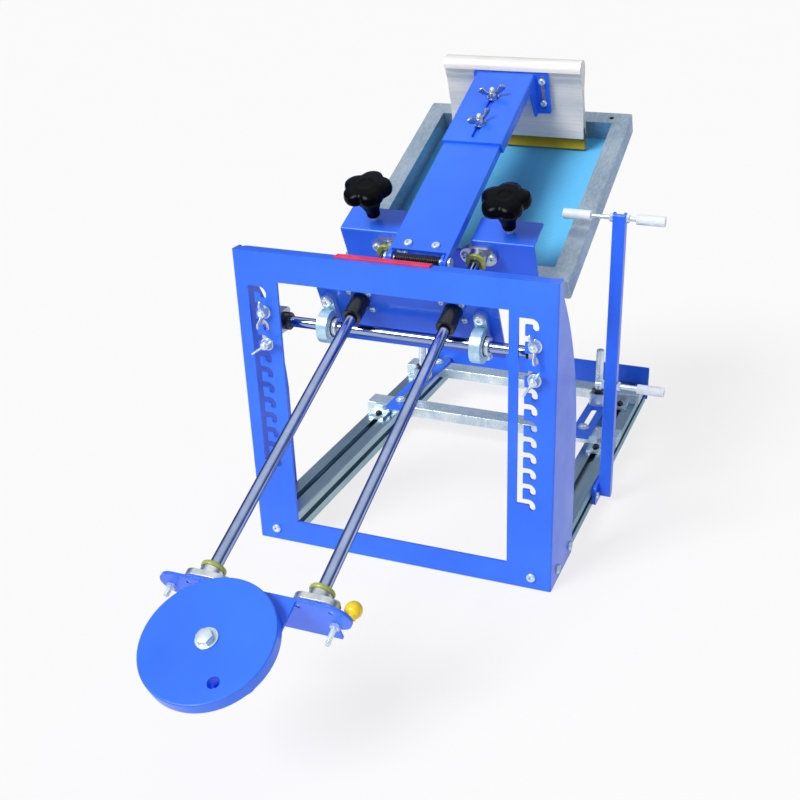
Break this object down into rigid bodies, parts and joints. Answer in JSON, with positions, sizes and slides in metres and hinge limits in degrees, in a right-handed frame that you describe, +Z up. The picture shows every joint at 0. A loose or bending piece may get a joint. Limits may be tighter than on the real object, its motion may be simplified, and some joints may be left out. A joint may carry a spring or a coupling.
{
  "type": "tabletop screen printing press",
  "caption": "Tabletop screen printing press: a counterweighted screen carriage tilts and slides over a rail base, with a hinged squeegee arm.",
  "frame": {"origin": "middle of the front frame's lower front edge, on the bench", "axes": "+X to the right seen from the operator's side, +Y back along the base rails, +Z up"},
  "size_m": [0.4442, 0.9584, 0.5233],
  "materials": {
    "blue_paint": "gloss",
    "zinc": "bright zinc",
    "rail_alloy": "anodised",
    "cast_alloy": "cast",
    "cast_zinc": "zinc plated",
    "chrome": "polished",
    "black_steel": "black oxide",
    "red_rubber": "matte",
    "green_rubber": "satin",
    "yellow_rubber": "satin",
    "amber_rubber": "satin",
    "white_nylon": "matte",
    "black_plastic": "gloss",
    "frame_alloy": "satin",
    "squeegee_alloy": "extruded",
    "mesh_fabric": "woven"
  },
  "bodies": {
    "base": {"front_frame": "blue_paint", "frame_bolts": "zinc", "base_rails": "rail_alloy", "rear_plate": "blue_paint", "base_screws": "zinc", "cross_bars": "zinc", "rail_brackets": "zinc", "bracket_screws": "black_steel", "cross_shaft": "chrome", "shaft_blocks": "cast_alloy", "shaft_collars": "black_steel", "height_studs": "zinc", "height_wing_nuts": "zinc", "red_strip": "red_rubber", "slide_bolts": "zinc", "rear_wing_screw": "zinc", "stop_post": "blue_paint", "stop_pins": "zinc"},
    "stop_roller": {"stop_roller": "white_nylon"},
    "handle_roller": {"handle_roller": "white_nylon"},
    "grip_roller": {"grip_roller": "white_nylon"},
    "slide_left": {"slide_plate_left": "blue_paint", "guide_post_left": "zinc", "post_nut_left": "black_steel"},
    "slide_right": {"slide_plate_right": "blue_paint", "guide_post_right": "zinc", "post_nut_right": "black_steel"},
    "carriage": {"pillow_blocks": "cast_zinc", "bearing_inserts": "black_steel", "carriage_screws": "zinc", "carriage_plate": "blue_paint", "linear_bearings": "black_steel", "hinge_lugs": "blue_paint", "hinge_pin": "zinc", "arm_spring": "black_steel"},
    "screen_carriage": {"slide_rods": "chrome", "rod_supports": "cast_alloy", "support_screws": "zinc", "bumpers": "green_rubber", "screen_clamp": "blue_paint", "screen_frame": "frame_alloy", "screen_mesh": "mesh_fabric", "counter_plate": "blue_paint", "counterweight_disc": "blue_paint", "counterweight_bolt": "zinc", "plate_screws": "zinc", "yellow_buffer": "yellow_rubber"},
    "knob_left": {"star_knob_left": "black_plastic", "knob_stud_left": "zinc"},
    "knob_right": {"star_knob_right": "black_plastic", "knob_stud_right": "zinc"},
    "arm": {"arm_lower": "blue_paint", "arm_studs": "zinc", "arm_wing_nuts": "zinc", "arm_bolts": "zinc"},
    "arm_extension": {"arm_upper": "blue_paint"},
    "squeegee": {"squeegee_holder": "squeegee_alloy", "squeegee_blade": "amber_rubber", "squeegee_screws": "zinc"}
  },
  "joints": [
    {"name": "carriage_tilt", "type": "hinge", "parent": "base", "child": "carriage", "pos_m": [0, 0.028, 0.2735], "axis": [1, 0, 0], "range_deg": [-24.4, 2]},
    {"name": "screen_slide", "type": "slide", "parent": "carriage", "child": "screen_carriage", "axis": [0, 0.9107, 0.4131], "range_m": [-0.006, 0.22]},
    {"name": "knob_left_turn", "type": "hinge", "parent": "screen_carriage", "child": "knob_left", "pos_m": [-0.073, 0.12801, 0.37377], "axis": [0, -0.4131, 0.9107], "continuous": true},
    {"name": "knob_right_turn", "type": "hinge", "parent": "screen_carriage", "child": "knob_right", "pos_m": [0.0895, 0.12801, 0.37377], "axis": [0, -0.4131, 0.9107], "continuous": true},
    {"name": "arm_lift", "type": "hinge", "parent": "carriage", "child": "arm", "pos_m": [0.0095, 0.05818, 0.34978], "axis": [1, 0, 0], "range_deg": [0, 45]},
    {"name": "arm_extend", "type": "slide", "parent": "arm", "child": "arm_extension", "axis": [0, 0.8973, 0.4415], "range_m": [-0.005, 0.006]},
    {"name": "squeegee_height", "type": "slide", "parent": "arm_extension", "child": "squeegee", "axis": [0, -0.3453, 0.9385], "range_m": [-0.001, 0.005]},
    {"name": "stop_roller_spin", "type": "hinge", "parent": "base", "child": "stop_roller", "pos_m": [0.1425, 0.218, 0.3715], "axis": [1, 0, 0], "continuous": true},
    {"name": "handle_roller_spin", "type": "hinge", "parent": "base", "child": "handle_roller", "pos_m": [0.2285, 0.218, 0.3715], "axis": [1, 0, 0], "continuous": true},
    {"name": "grip_roller_spin", "type": "hinge", "parent": "base", "child": "grip_roller", "pos_m": [0.2415, 0.218, 0.163], "axis": [1, 0, 0], "continuous": true},
    {"name": "slide_left_shift", "type": "slide", "parent": "base", "child": "slide_left", "axis": [0, 1, 0], "range_m": [-0.012, 0.001]},
    {"name": "slide_right_shift", "type": "slide", "parent": "base", "child": "slide_right", "axis": [0, 1, 0], "range_m": [-0.012, 0.001]}
  ]
}
